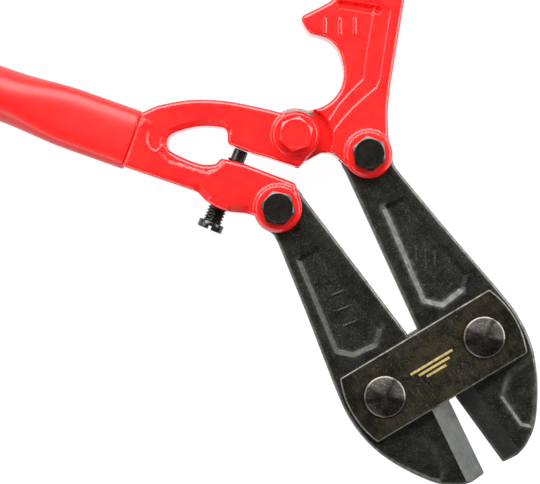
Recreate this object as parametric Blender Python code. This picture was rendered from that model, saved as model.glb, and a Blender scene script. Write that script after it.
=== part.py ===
"""Bolt cutters, 914 mm long when closed, modelled with the jaws open.

The tool lies flat: +Y runs from the jaws to the handles, +X towards the right handle and jaw, +Z up.
Dimensions are in millimetres from the centre pivot, on the plane half way through the jaws.
"""
import math

import bmesh
import bpy
from mathutils import Matrix, Vector

MM = 0.001

# Handles: each slants away from the centre line, with its tube's axis outward of the centre pivot.
HANDLE_ANGLE = 39.6
TUBE_OFFSET = 36.2
TUBE_RADIUS = 16.5
TUBE_WALL = 2.0
TUBE_START_LEFT = 94.2
TUBE_START_RIGHT = 98.5
TUBE_END = 677.0
FLAT_HALF_WIDTH = 18.9
FLAT_HALF_HEIGHT = 14.3
FLAT_LENGTH = 38.0
FLARE_LENGTH = 82.0
SHANK_LENGTH = 48.0
SHANK_LEAD = 6.0
GRIP_START = 495.0
GRIP_END = 680.0
GRIP_RADIUS = 20.0
GRIP_EDGE = 3.0

# Pivots of the linkage, right side; the left side mirrors them.
JAW_PIVOT = (32.4, -33.2)
STRAP_PIVOT = (35.5, -165.8)

# Layers through the thickness, each measured from the middle plane.
JAW_HALF = 6.5
FORK_HALF = 6.8
FITTING_HALF = 14.3
BOSS_HEIGHT = 1.2
STRAP_THICK = 6.5
GAP = 0.3
CUT_CLEAR = 5.0

# Jaws
EYE_RADIUS = 15.2
EYE_LUG_RADIUS = 17.2
RING_RADIUS = 15.0
EDGE_ANGLE = 5.1
HEEL_RADIUS = 35.2
EDGE_FLAT = 0.3
BEVEL_WIDTH = 12.5
BEVEL_START = 13.0
BEVEL_END = 90.0
JAW_TIP_Y = -239.5
JAW_CHAMFER = 1.0
ARM_RECESS_DEPTH = 1.6
NOSE_RECESS_DEPTH = 1.1
OPEN_PIVOT_PLAY = 3.1

# Fittings
EAR_RADIUS = 14.8
TONGUE_RADIUS = 17.0
SHOULDER_RADIUS = 17.6
SWING_AT = (2, -3)
SWING_RADIUS = 19.0
FORK_CLEAR = 1.0
BOSS_RADIUS = 13.4
FITTING_CHAMFER = 2.0
END_FACE_OUTER = 17.4
END_FACE_INNER = 17.6

# Fasteners: M12 hexagon bolts, and round-head strap bolts
BOLT_RADIUS = 6.0
HOLE_RADIUS = 6.3
HEX_FLATS = 19.0
HEX_CHAMFER_RADIUS = 9.3
HEAD_HEIGHT = 7.5
WASHER_THICK = 2.0
WASHER_RADIUS = 12.0
NUT_HEIGHT = 9.0
BOLT_END = 28.0
DOME_RADIUS = 12.7
DOME_HEIGHT = 5.0
DOME_RIM = 1.2
STRAP_BOLT_RADIUS = 7.0
STRAP_HOLE_RADIUS = 7.3

# Strap: a strip with its ends cut to one circle
STRAP_CENTRE_Y = -165.0
STRAP_HALF_HEIGHT = 22.9
STRAP_END_RADIUS = 58.1
STRAP_CHAMFER = 0.8

# Adjusting screw: from its head, outside the left fitting, to its tip against the upper arm
SCREW_HEAD_AT = (-75.7, -22.3)
SCREW_ANGLE = 36.87
SCREW_LENGTH = 53.1
SCREW_RADIUS = 5.9
SCREW_HEAD_RADIUS = 8.0
SCREW_HEAD_HEIGHT = 5.0
SCREW_TIP_RADIUS = 4.5
SCREW_TIP_LENGTH = 7.0
SCREW_EDGE = 0.6
SLOT_HALF_WIDTH = 1.0
SLOT_DEPTH = 2.0
BORE_CLEAR = 4.0

# The lowest face is the bolts' ends, and the origin is below the middle of the tool's outline.
MIDDLE_Z = BOLT_END
SLANT = math.radians(HANDLE_ANGLE)
HANDLE_REACH = GRIP_END * math.cos(SLANT) + (GRIP_RADIUS - GRIP_EDGE - TUBE_OFFSET) * math.sin(SLANT)
PIVOT_Y = -(HANDLE_REACH + JAW_TIP_Y) / 2

PAINT = ("red_paint", (0.86, 0.02, 0.02), 0.0, 0.3)
JAW_STEEL = ("blackened_jaw_steel", (0.03, 0.03, 0.03), 0.8, 0.45)
STRAP_STEEL = ("blackened_strap_steel", (0.035, 0.03, 0.025), 0.8, 0.4)
BOLT_STEEL = ("black_bolt_steel", (0.02, 0.018, 0.017), 0.7, 0.45)
GRIP_RUBBER = ("grip_rubber", (0.02, 0.02, 0.02), 0.0, 0.75)


# ---------------------------------------------------------------- outlines

def arc(centre, radius, start, end, steps):
    """Points round a circle from one angle to another, in degrees."""
    angles = [math.radians(start + (end - start) * i / steps) for i in range(steps + 1)]
    return [(centre[0] + radius * math.cos(a), centre[1] + radius * math.sin(a)) for a in angles]


def circle(centre, radius, steps=32):
    """A closed circle, without a repeated point."""
    return arc(centre, radius, 0, 360, steps)[:-1]


def smooth(points, steps=2):
    """A Catmull-Rom curve through the points."""
    knots = [points[0]] + list(points) + [points[-1]]
    curve = []
    for before, start, end, after in zip(knots, knots[1:], knots[2:], knots[3:]):
        for i in range(steps):
            t = i / steps
            curve.append(tuple(
                b + 0.5 * t * (c - a + t * (2 * a - 5 * b + 4 * c - d + t * (3 * (b - c) + d - a)))
                for a, b, c, d in zip(before, start, end, after)))
    return curve + [tuple(points[-1])]


def mirrored(outline):
    """The same outline on the other side of the centre line, still counter-clockwise."""
    return [(-x, y) for x, y in reversed(outline)]


def inset(outline, distance):
    """Move each side of a counter-clockwise outline inwards."""
    moved = []
    for before, here, after in zip([outline[-1]] + outline, outline, outline[1:] + outline[:1]):
        into = (Vector(here) - Vector(before)).normalized()
        away = (Vector(after) - Vector(here)).normalized()
        bisector = Vector((-into.y - away.y, into.x + away.x))
        moved.append(tuple(Vector(here) + bisector * distance / (1 + into.dot(away))))
    return moved


def handle_point(side, along, outward):
    """A point in a handle's own directions: along its axis, and outward from it, from the centre pivot."""
    x = along * math.sin(SLANT) + outward * math.cos(SLANT)
    y = along * math.cos(SLANT) - outward * math.sin(SLANT)
    return (side * x, y)


def jaw_outline():
    """Right jaw: eye with a lug, straight inner edge, heel, cutting edge, blunt tip, bulged outer edge."""
    eye = arc(JAW_PIVOT, EYE_RADIUS, -40, 140, 16)
    lug = arc(JAW_PIVOT, EYE_LUG_RADIUS, 150, 186, 3)
    heel = arc(STRAP_PIVOT, HEEL_RADIUS, 162.3, 180 + EDGE_ANGLE, 6)
    foot = heel[-1]
    tip_x = foot[0] + (foot[1] - JAW_TIP_Y) * math.tan(math.radians(EDGE_ANGLE))
    outer = smooth([(16.6, JAW_TIP_Y), (25, -236.6), (36.4, -227.8), (49.8, -208.2), (58.2, -188.6),
                    (61.0, -168.8), (59.3, -149), (50.8, -99), (45.4, -65), (43.4, -52), (43, -46)])
    return eye + lug + heel + [(tip_x, JAW_TIP_Y)] + outer


def arm_recess_outline():
    """The sunk panel between the right jaw's eye and its strap bolt."""
    return [(14.1, -128.8), (22.6, -64.8), (39.1, -65.8), (48.1, -127.8), (39.6, -135.8), (23.6, -137.8)]


def nose_recess_outline():
    """The shallow sunk panel on the right jaw's nose, beyond the strap."""
    return [(59.4, -190.8), (38.6, -192.8), (33.6, -195.8), (25.6, -203.3), (27.1, -224.8), (32.6, -229.8),
            (38, -225), (50, -208)]


def right_fitting_outline():
    """Hook, half-round notch, tongue round the centre pivot, arm and ear round the jaw pivot."""
    tube = [handle_point(1, TUBE_START_RIGHT, TUBE_OFFSET + END_FACE_OUTER),
            handle_point(1, TUBE_START_RIGHT, TUBE_OFFSET - END_FACE_INNER)]
    hook = smooth([(60.6, 59.7), (52.8, 60.0), (47.0, 60.5), (41.5, 60.8), (39.6, 59.6), (39.1, 56.0),
                   (39.1, 52.0), (40.0, 48.6), (43.2, 45.6), (46.8, 41.5), (48.8, 37.0), (49.5, 32.0),
                   (49.0, 27.5)])
    notch = arc((25.6, 29.2), 22.7, -14, -111, 12)
    tongue = arc((0, 0), TONGUE_RADIUS, 34, 275, 18)
    arm = smooth([(8.4, -17.3), (13.9, -21.8), (16.7, -31)])
    ear = arc(JAW_PIVOT, EAR_RADIUS, 193, 356, 14)
    back = smooth([(48.6, -30), (56.2, -16.6), (65.6, -3.8)])
    return tube + hook + notch + tongue + arm + ear + back


def left_fitting_outline():
    """A fork: lower arm to the jaw pivot, slot and oval window, upper arm to the centre pivot."""
    jaw_pivot = (-JAW_PIVOT[0], JAW_PIVOT[1])
    tube = [handle_point(-1, TUBE_START_LEFT - GAP, TUBE_OFFSET - END_FACE_INNER),
            handle_point(-1, TUBE_START_LEFT - GAP, TUBE_OFFSET + END_FACE_OUTER)]
    screw_boss = smooth([(-69.4, 0.7), (-67.6, -7.4), (-61.5, -17.2), (-50.4, -25.8)])
    ear = arc(jaw_pivot, EAR_RADIUS, 166, 346, 14)
    lower_arm = [(-15.3, -25.2), (-36.2, 1.2), (-46.7, 11.4)]
    window = smooth([(-51, 9.8), (-59.4, 14.8), (-69.4, 28), (-71.2, 34.5), (-65.5, 39.6), (-49.4, 35.7),
                     (-36.7, 27.6), (-35, 23.8), (-37.6, 18.5)])
    upper_arm = [(-38.5, 16.9), (-27.6, 3.0), (-23, -1.5), (-8.5, -18.1)]
    ring = arc((0, 0), RING_RADIUS, -67, 80, 14)
    top = smooth([(-1.0, 16.9), (-9.6, 25.4), (-27.0, 40.8), (-45.2, 52.2), (-63.5, 59.2)])
    return tube + screw_boss + ear + lower_arm + window + upper_arm + ring + top


def strap_outline():
    """A strip between two arcs of one circle."""
    corner = math.degrees(math.asin(STRAP_HALF_HEIGHT / STRAP_END_RADIUS))
    centre = (0, STRAP_CENTRE_Y)
    return (arc(centre, STRAP_END_RADIUS, -corner, corner, 8)
            + arc(centre, STRAP_END_RADIUS, 180 - corner, 180 + corner, 8))


# ---------------------------------------------------------------- solids

def material(finish):
    """A plain painted, blackened or rubber surface, made once."""
    name, colour, metallic, roughness = finish
    if name in bpy.data.materials:
        return bpy.data.materials[name]
    made = bpy.data.materials.new(name)
    made.use_nodes = True
    shader = made.node_tree.nodes["Principled BSDF"]
    shader.inputs["Base Color"].default_value = (*colour, 1)
    shader.inputs["Metallic"].default_value = metallic
    shader.inputs["Roughness"].default_value = roughness
    return made


def loft(name, rings, finish=None, ring_shaped=False):
    """A closed solid through rings of points; ring_shaped joins the last ring to the first."""
    bm = bmesh.new()
    loops = [[bm.verts.new(Vector(point) * MM) for point in ring] for ring in rings]
    pairs = list(zip(loops, loops[1:]))
    if ring_shaped:
        pairs.append((loops[-1], loops[0]))
    else:
        bm.faces.new(loops[0])
        bm.faces.new(loops[-1])
    count = len(loops[0])
    for low, high in pairs:
        for i in range(count):
            bm.faces.new((low[i], low[i - 1], high[i - 1], high[i]))
    bmesh.ops.recalc_face_normals(bm, faces=bm.faces)
    mesh = bpy.data.meshes.new(name)
    bm.to_mesh(mesh)
    bm.free()
    mesh.shade_smooth()
    mesh.set_sharp_from_angle(angle=math.radians(30))
    made = bpy.data.objects.new(name, mesh)
    if finish:
        mesh.materials.append(material(finish))
    bpy.context.collection.objects.link(made)
    return made


def slab(name, outline, low, high, chamfer=0.0, finish=None):
    """An outline given thickness, with its top and bottom edges chamfered."""
    layers = [(chamfer, low), (0, low + chamfer), (0, high - chamfer), (chamfer, high)]
    if not chamfer:
        layers = [(0, low), (0, high)]
    rings = [[(x, y, z) for x, y in (inset(outline, depth) if depth else outline)] for depth, z in layers]
    return loft(name, rings, finish)


def turned(name, profile, finish=None, ring_shaped=False, steps=24):
    """A solid of revolution about Z from (radius, height) pairs."""
    rings = [[(x, y, height) for x, y in circle((0, 0), radius, steps)] for radius, height in profile]
    return loft(name, rings, finish, ring_shaped)


def cutter(made, parent):
    """Mark an object as a tool that shapes others and is no piece itself."""
    made.hide_render = True
    made.display_type = "WIRE"
    made.parent = parent
    return made


def apply_boolean(made, tool, operation):
    """Shape an object with a tool."""
    change = made.modifiers.new(tool.name, "BOOLEAN")
    change.operation = operation
    change.solver = "EXACT"
    change.object = tool


def cut(made, tool):
    apply_boolean(made, tool, "DIFFERENCE")


def join(made, tool):
    apply_boolean(made, tool, "UNION")


def pivot_frame(name, at, parent=None):
    """An empty on a joint's axis."""
    made = bpy.data.objects.new(name, None)
    made.location = Vector(at) * MM
    made.parent = parent
    bpy.context.collection.objects.link(made)
    return made


def hang(made, frame):
    """Give a solid drawn from the centre pivot its origin on a joint's axis."""
    made.data.transform(Matrix.Translation(-frame.location))
    made.parent = frame
    return made


# ---------------------------------------------------------------- fasteners

def hexagon(flats, z, chamfer_radius=None, steps=24):
    """A hexagon as a ring of points, one corner on X; past the chamfer radius its corners slope away."""
    ring = []
    for i in range(steps):
        angle = 2 * math.pi * i / steps
        side = angle % (math.pi / 3) - math.pi / 6
        radius = flats / 2 / math.cos(side)
        drop = max(0.0, radius - chamfer_radius) * math.tan(math.radians(30)) if chamfer_radius else 0.0
        ring.append((radius * math.cos(angle), radius * math.sin(angle), z - drop))
    return ring


def ring_at(radius, z, steps=24):
    return [(x, y, z) for x, y in circle((0, 0), radius, steps)]


def hex_bolt(name, at, turn, frame, finish):
    """A hexagon bolt, head up, through both ears, with its end at the lowest face."""
    seat = FITTING_HALF + BOSS_HEIGHT + GAP
    top = seat + HEAD_HEIGHT
    rings = [ring_at(BOLT_RADIUS - 1, -BOLT_END), ring_at(BOLT_RADIUS, -BOLT_END + 1),
             ring_at(BOLT_RADIUS, seat), hexagon(HEX_FLATS, seat),
             hexagon(HEX_FLATS, top, HEX_CHAMFER_RADIUS),
             ring_at(HEX_CHAMFER_RADIUS - 0.1, top)]
    made = loft(name, rings, finish)
    made.data.transform(Matrix.Rotation(math.radians(turn), 4, "Z"))
    made.location = Vector((*at, 0)) * MM - frame.location
    made.parent = frame
    return made


def washer_and_nut(name, at, turn, top, bore, frame):
    """The washer and nut under a bolt, the washer's upper face at top."""
    place = Vector((*at, 0)) * MM - frame.location
    low = top - WASHER_THICK
    profile = [(bore, low), (WASHER_RADIUS, low), (WASHER_RADIUS, top), (bore, top)]
    washer = turned(name + "_washer", profile, BOLT_STEEL, ring_shaped=True)
    high = low - GAP
    rings = [ring_at(bore, high - NUT_HEIGHT), hexagon(HEX_FLATS, high - NUT_HEIGHT),
             hexagon(HEX_FLATS, high), ring_at(bore, high)]
    nut = loft(name + "_nut", rings, BOLT_STEEL, ring_shaped=True)
    nut.data.transform(Matrix.Rotation(math.radians(turn), 4, "Z"))
    for made in (washer, nut):
        made.location = place
        made.parent = frame


def strap_bolt(name, at, frame):
    """A round-head bolt through the straps and a jaw, with its washer and nut."""
    seat = FORK_HALF + STRAP_THICK + GAP
    rise = DOME_HEIGHT - DOME_RIM
    dome = [(DOME_RADIUS * math.cos(math.radians(a)), seat + DOME_RIM + rise * math.sin(math.radians(a)))
            for a in (0, 20, 40, 60, 80)]
    lowest = -seat - WASHER_THICK - GAP - NUT_HEIGHT - 1
    profile = [(STRAP_BOLT_RADIUS - 1, lowest), (STRAP_BOLT_RADIUS, lowest + 1), (STRAP_BOLT_RADIUS, seat),
               (DOME_RADIUS, seat)] + dome
    made = turned(name, profile, BOLT_STEEL)
    made.location = Vector((*at, 0)) * MM - frame.location
    made.parent = frame
    washer_and_nut(name.replace("_bolt", ""), at, 10, -seat, STRAP_HOLE_RADIUS, frame)


def screw_direction():
    """Turn a solid made along Z to lie along the adjusting screw."""
    return Matrix.Rotation(math.radians(SCREW_ANGLE), 4, "Z") @ Matrix.Rotation(math.pi / 2, 4, "Y")


def adjusting_screw(frame):
    """A slotted cheese-head screw with a plain tip, lying in the left fitting's boss."""
    start = SCREW_LENGTH - SCREW_TIP_LENGTH
    profile = [(SCREW_HEAD_RADIUS - SCREW_EDGE, 0), (SCREW_HEAD_RADIUS, SCREW_EDGE),
               (SCREW_HEAD_RADIUS, SCREW_HEAD_HEIGHT), (SCREW_RADIUS, SCREW_HEAD_HEIGHT),
               (SCREW_RADIUS, start - 1), (SCREW_TIP_RADIUS, start), (SCREW_TIP_RADIUS, SCREW_LENGTH)]
    made = turned("adjusting_screw", profile, BOLT_STEEL)
    reach = SCREW_HEAD_RADIUS + 2
    corners = [(-reach, -SLOT_HALF_WIDTH), (reach, -SLOT_HALF_WIDTH), (reach, SLOT_HALF_WIDTH),
               (-reach, SLOT_HALF_WIDTH)]
    slot = slab("screw_slot_cutter", corners, -1, SLOT_DEPTH)
    cut(made, cutter(slot, frame))
    for piece in (made, slot):
        piece.data.transform(screw_direction())
        piece.parent = frame
    return made


# ---------------------------------------------------------------- handles

def tube_ring(along, depth, steps=24):
    """The tube's section, depth inside its surface: an oblong at the fitting, round further up."""
    t = min(max((along - FLAT_LENGTH) / (FLARE_LENGTH - FLAT_LENGTH), 0.0), 1.0)
    blend = t * t * (3 - 2 * t)
    width = FLAT_HALF_WIDTH + (TUBE_RADIUS - FLAT_HALF_WIDTH) * blend - depth
    height = FLAT_HALF_HEIGHT + (TUBE_RADIUS - FLAT_HALF_HEIGHT) * blend - depth
    power = 2 / (3.0 - blend)
    ring = []
    for i in range(steps):
        angle = 2 * math.pi * i / steps
        across, up = math.cos(angle), math.sin(angle)
        ring.append((math.copysign(abs(across) ** power, across) * width,
                     math.copysign(abs(up) ** power, up) * height))
    return ring


def along_handle(side, rings):
    """Place sections, given as (distance from the centre pivot, points), on a handle's tube axis."""
    return [[(*handle_point(side, along, TUBE_OFFSET + across), up) for across, up in ring]
            for along, ring in rings]


def handle_tube(name, side, start, frame):
    """A steel tube, flattened where it grips the fitting's shank."""
    steps = [0, FLAT_LENGTH, 49, 60, 71, FLARE_LENGTH]
    outer = [(start + s, tube_ring(s, 0)) for s in steps] + [(TUBE_END, tube_ring(FLARE_LENGTH, 0))]
    inner = [(start + s, tube_ring(s, TUBE_WALL)) for s in steps]
    inner.append((TUBE_END, tube_ring(FLARE_LENGTH, TUBE_WALL)))
    made = loft(name, along_handle(side, outer + inner[::-1]), PAINT, ring_shaped=True)
    return hang(made, frame)


def grip(name, side, frame):
    """A rubber sleeve with a closed, chamfered end."""
    def round_ring(radius):
        return circle((0, 0), radius, 24)
    bore = TUBE_RADIUS + GAP
    rings = [(TUBE_END + GAP, round_ring(bore)), (GRIP_START, round_ring(bore)),
             (GRIP_START, round_ring(GRIP_RADIUS - 1)), (GRIP_START + 1, round_ring(GRIP_RADIUS)),
             (GRIP_END - GRIP_EDGE, round_ring(GRIP_RADIUS)), (GRIP_END, round_ring(GRIP_RADIUS - GRIP_EDGE))]
    return hang(loft(name, along_handle(side, rings), GRIP_RUBBER), frame)


def shank(name, side, start, frame):
    """The part of a fitting that fills the flattened tube."""
    depth = TUBE_WALL + GAP
    steps = [SHANK_LENGTH * i / 3 for i in range(4)]
    rings = [(start - SHANK_LEAD, tube_ring(0, depth))] + [(start + s, tube_ring(s, depth)) for s in steps]
    return cutter(loft(name, along_handle(side, rings)), frame)


def disc_tool(name, at, radius, low, high, frame, steps=32):
    return cutter(slab(name, circle(at, radius, steps), low, high), frame)


def bosses(made, name, at, frame):
    """Raised discs on both faces, under a bolt's head and washer."""
    top = FITTING_HALF + BOSS_HEIGHT
    for side, low, high in (("upper", FORK_HALF + 2, top), ("lower", -top, -FORK_HALF - 2)):
        join(made, disc_tool(f"{name}_{side}_boss", at, BOSS_RADIUS, low, high, frame))


def right_fitting(frame, root):
    """Right fitting: a thin tongue at the centre pivot and a fork at the jaw pivot."""
    made = slab("right_handle_fitting", right_fitting_outline(), -FITTING_HALF, FITTING_HALF, FITTING_CHAMFER,
                PAINT)
    join(made, shank("right_shank", 1, TUBE_START_RIGHT, root))
    bosses(made, "right_jaw", JAW_PIVOT, root)
    clear = FITTING_HALF + CUT_CLEAR
    for side, low, high in (("upper", JAW_HALF, clear), ("lower", -clear, -JAW_HALF)):
        cut(made, disc_tool(f"{side}_shoulder_cutter", (0, 0), SHOULDER_RADIUS, low, high, root))
        cut(made, disc_tool(f"{side}_swing_cutter", SWING_AT, SWING_RADIUS, low, high, root))
    reach = EYE_LUG_RADIUS + FORK_CLEAR
    cut(made, disc_tool("right_fork_cutter", JAW_PIVOT, reach, -FORK_HALF, FORK_HALF, root))
    cut(made, disc_tool("right_jaw_hole_cutter", JAW_PIVOT, HOLE_RADIUS, -clear, clear, root, 24))
    cut(made, disc_tool("tongue_hole_cutter", (0, 0), HOLE_RADIUS, -clear, clear, root, 24))
    return hang(made, frame)


def left_fitting(frame, root):
    """Left fitting: forks at the centre pivot and at the jaw pivot, and a bored screw boss."""
    pivot = (-JAW_PIVOT[0], JAW_PIVOT[1])
    made = slab("left_handle_fitting", left_fitting_outline(), -FITTING_HALF, FITTING_HALF, FITTING_CHAMFER,
                PAINT)
    join(made, shank("left_shank", -1, TUBE_START_LEFT, root))
    bosses(made, "left_jaw", pivot, root)
    bosses(made, "centre", (0, 0), root)
    clear = FITTING_HALF + CUT_CLEAR
    corner = [(-10, -25), (25, -25), (25, 0), (-10, 0)]
    slot = TONGUE_RADIUS + FORK_CLEAR
    cut(made, disc_tool("centre_fork_cutter", (0, 0), slot, -FORK_HALF, FORK_HALF, root))
    cut(made, cutter(slab("fork_corner_cutter", corner, -FORK_HALF, FORK_HALF), root))
    reach = EYE_LUG_RADIUS + OPEN_PIVOT_PLAY + FORK_CLEAR
    cut(made, disc_tool("left_fork_cutter", pivot, reach, -FORK_HALF, FORK_HALF, root))
    cut(made, disc_tool("left_jaw_hole_cutter", pivot, HOLE_RADIUS, -clear, clear, root, 24))
    cut(made, disc_tool("centre_hole_cutter", (0, 0), HOLE_RADIUS, -clear, clear, root, 24))
    radius = SCREW_RADIUS + GAP
    bore = turned("screw_bore_cutter", [(radius, 0), (radius, SCREW_LENGTH - BORE_CLEAR)])
    bore.data.transform(screw_direction())
    bore.location = Vector((*SCREW_HEAD_AT, 0)) * MM
    cut(made, cutter(bore, root))
    return hang(made, frame)


# ---------------------------------------------------------------- jaws and straps

def edge_bevel_tool(name, side, face, root):
    """A wedge that thins one face of a jaw towards its cutting edge."""
    slope = math.radians(EDGE_ANGLE)
    foot = arc(STRAP_PIVOT, HEEL_RADIUS, 180 + EDGE_ANGLE, 180 + EDGE_ANGLE, 1)[0]

    def at(along, across):
        x = foot[0] + along * math.sin(slope) + across * math.cos(slope)
        y = foot[1] - along * math.cos(slope) + across * math.sin(slope)
        return side * x, y

    def section(along):
        rise = (JAW_HALF - EDGE_FLAT) / BEVEL_WIDTH
        over = 3.0
        corners = ((-over, EDGE_FLAT - over * rise), (BEVEL_WIDTH + over, JAW_HALF + over * rise),
                   (-over, JAW_HALF + over * rise))
        return [(*at(along, across), face * up) for across, up in corners]

    return cutter(loft(name, [section(BEVEL_START), section(BEVEL_END)]), root)


def jaw(name, side, frame, root):
    """One jaw; the left one's eye is slotted, because its pivot is where the linkage is opened."""
    outline = jaw_outline()
    arm_panel = arm_recess_outline()
    nose_panel = nose_recess_outline()
    eye = circle(JAW_PIVOT, HOLE_RADIUS, 24)
    if side < 0:
        radius = HOLE_RADIUS + GAP
        eye = (arc((JAW_PIVOT[0] + OPEN_PIVOT_PLAY, JAW_PIVOT[1]), radius, -90, 90, 12)
               + arc((JAW_PIVOT[0] - OPEN_PIVOT_PLAY, JAW_PIVOT[1]), radius, 90, 270, 12))
        outline, eye = mirrored(outline), mirrored(eye)
        arm_panel, nose_panel = mirrored(arm_panel), mirrored(nose_panel)
    made = slab(name, outline, -JAW_HALF, JAW_HALF, JAW_CHAMFER, JAW_STEEL)
    clear = JAW_HALF + CUT_CLEAR
    cut(made, cutter(slab(name + "_eye_cutter", eye, -clear, clear), root))
    bolt_at = (side * STRAP_PIVOT[0], STRAP_PIVOT[1])
    cut(made, disc_tool(name + "_strap_hole_cutter", bolt_at, STRAP_HOLE_RADIUS, -clear, clear, root, 24))
    for label, face in (("front", 1), ("rear", -1)):
        cut(made, edge_bevel_tool(f"{name}_{label}_bevel_cutter", side, face, root))
        for part, panel, depth in (("arm", arm_panel, ARM_RECESS_DEPTH),
                                   ("nose", nose_panel, NOSE_RECESS_DEPTH)):
            low, high = sorted((face * (JAW_HALF - depth), face * clear))
            cut(made, cutter(slab(f"{name}_{label}_{part}_cutter", panel, low, high), root))
    return hang(made, frame)


def strap(name, low, frame, root):
    """One of the two plates that hold the jaws together."""
    made = slab(name, strap_outline(), low, low + STRAP_THICK, STRAP_CHAMFER, STRAP_STEEL)
    for side in (-1, 1):
        at = (side * STRAP_PIVOT[0], STRAP_PIVOT[1])
        label = "right" if side > 0 else "left"
        cut(made, disc_tool(f"{name}_{label}_hole_cutter", at, STRAP_HOLE_RADIUS, low - CUT_CLEAR,
                            low + STRAP_THICK + CUT_CLEAR, root, 24))
    return hang(made, frame)


# ---------------------------------------------------------------- the tool

def main():
    for old in list(bpy.data.objects):
        bpy.data.objects.remove(old, do_unlink=True)
    root = pivot_frame("middle_plane", (0, PIVOT_Y, MIDDLE_Z))
    left_pivot = (-JAW_PIVOT[0], JAW_PIVOT[1])
    right_handle = pivot_frame("right_handle_axis", (0, 0, 0), root)
    left_handle = pivot_frame("left_handle_axis", (0, 0, 0), root)
    right_jaw = pivot_frame("right_jaw_axis", (*JAW_PIVOT, 0), root)
    left_jaw = pivot_frame("left_jaw_axis", (-STRAP_PIVOT[0], STRAP_PIVOT[1], 0), root)
    straps = pivot_frame("straps_axis", (*STRAP_PIVOT, 0), root)
    screw = pivot_frame("screw_axis", (*SCREW_HEAD_AT, 0), root)

    washer_top = -(FITTING_HALF + BOSS_HEIGHT + GAP)
    for label, side, start, frame in (("right", 1, TUBE_START_RIGHT, right_handle),
                                      ("left", -1, TUBE_START_LEFT, left_handle)):
        handle_tube(label + "_handle_tube", side, start, frame)
        grip(label + "_grip", side, frame)
    right_fitting(right_handle, root)
    left_fitting(left_handle, root)
    hex_bolt("centre_pivot_bolt", (0, 0), -13, right_handle, PAINT)
    washer_and_nut("centre_pivot", (0, 0), 7, washer_top, HOLE_RADIUS, right_handle)
    hex_bolt("right_jaw_bolt", JAW_PIVOT, 7, right_handle, BOLT_STEEL)
    washer_and_nut("right_jaw", JAW_PIVOT, 27, washer_top, HOLE_RADIUS, right_handle)
    hex_bolt("left_jaw_bolt", left_pivot, 16.5, left_handle, BOLT_STEEL)
    washer_and_nut("left_jaw", left_pivot, 36.5, washer_top, HOLE_RADIUS, left_handle)
    adjusting_screw(screw)
    jaw("right_jaw", 1, right_jaw, root)
    jaw("left_jaw", -1, left_jaw, root)
    strap("front_strap", FORK_HALF, straps, root)
    strap("rear_strap", -FORK_HALF - STRAP_THICK, straps, root)
    strap_bolt("right_strap_bolt", STRAP_PIVOT, straps)
    strap_bolt("left_strap_bolt", (-STRAP_PIVOT[0], STRAP_PIVOT[1]), straps)


main()
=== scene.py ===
"""The looks of a pair of bolt cutters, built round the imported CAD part.

The tool lies flat with its jaws open: +Y runs from the jaws to the handles, +X to the right handle, +Z up.
Dimensions are in millimetres from the centre pivot, on the plane half way through the jaws, as in the CAD.
"""
from math import asin, atan2, copysign, cos, degrees, pi, radians, sin, tan

import bmesh
import bpy
import numpy as np
from mathutils import Matrix, Vector
from mathutils.geometry import delaunay_2d_cdt


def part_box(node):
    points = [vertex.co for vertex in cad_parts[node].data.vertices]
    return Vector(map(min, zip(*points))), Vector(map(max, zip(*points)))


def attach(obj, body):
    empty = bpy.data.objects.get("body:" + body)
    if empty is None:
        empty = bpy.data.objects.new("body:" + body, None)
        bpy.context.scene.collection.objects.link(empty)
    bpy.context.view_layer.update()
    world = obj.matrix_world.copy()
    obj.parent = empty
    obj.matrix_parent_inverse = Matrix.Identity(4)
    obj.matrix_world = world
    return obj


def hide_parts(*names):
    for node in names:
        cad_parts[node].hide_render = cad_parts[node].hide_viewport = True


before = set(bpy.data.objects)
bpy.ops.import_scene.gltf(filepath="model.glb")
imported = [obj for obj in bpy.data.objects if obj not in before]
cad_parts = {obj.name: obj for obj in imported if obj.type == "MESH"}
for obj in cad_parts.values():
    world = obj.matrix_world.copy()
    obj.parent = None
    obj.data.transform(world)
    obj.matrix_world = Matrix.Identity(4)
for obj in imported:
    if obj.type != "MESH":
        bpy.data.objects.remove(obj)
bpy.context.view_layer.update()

MM = 0.001
SIDES = (("right", 1), ("left", -1))

# Handles, as in the CAD: the slant, the tube's offset from the centre pivot, and its sections
HANDLE_ANGLE = 39.6
TUBE_OFFSET = 36.2
TUBE_RADIUS = 16.5
TUBE_WALL = 2
TUBE_START = {1: 98.5, -1: 94.2}
TUBE_END = 677
FLAT_HALF_WIDTH = 18.9
FLAT_HALF_HEIGHT = 14.3
FLAT_LENGTH = 38
FLARE_LENGTH = 82
SHANK_LENGTH = 48
GRIP_START = 495
GRIP_END = 680
GRIP_RADIUS = 20

# Layers through the thickness, from the middle plane
JAW_HALF = 6.5
FORK_HALF = 6.8
FITTING_HALF = 14.3
CLEAR = FITTING_HALF + 5
BOSS_TOP = 15.5
STRAP_THICK = 6.5
STRAP_HALF_HEIGHT = 22.9
STRAP_END_RADIUS = 58.1
GAP = 0.3

# Jaws and fittings
EYE_RADIUS = 15.2
EYE_LUG_RADIUS = 17.2
EDGE_ANGLE = 5.1
HEEL_RADIUS = 35.2
EDGE_FLAT = 0.3
BEVEL_WIDTH = 12.5
JAW_TIP_Y = -239.5
OPEN_PIVOT_PLAY = 3.1
EAR_RADIUS = 14.8
TONGUE_RADIUS = 17
SHOULDER_RADIUS = 17.6
BOSS_RADIUS = 13.3
STEP_RADIUS = 15.2
RIM = 2.8
RIM_DEPTHS = [RIM * (1 - cos(radians(a))) for a in (12, 25, 38, 51, 64, 77, 90)]
HOLE_RADIUS = 6.3
STRAP_HOLE_RADIUS = 7.3

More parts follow.
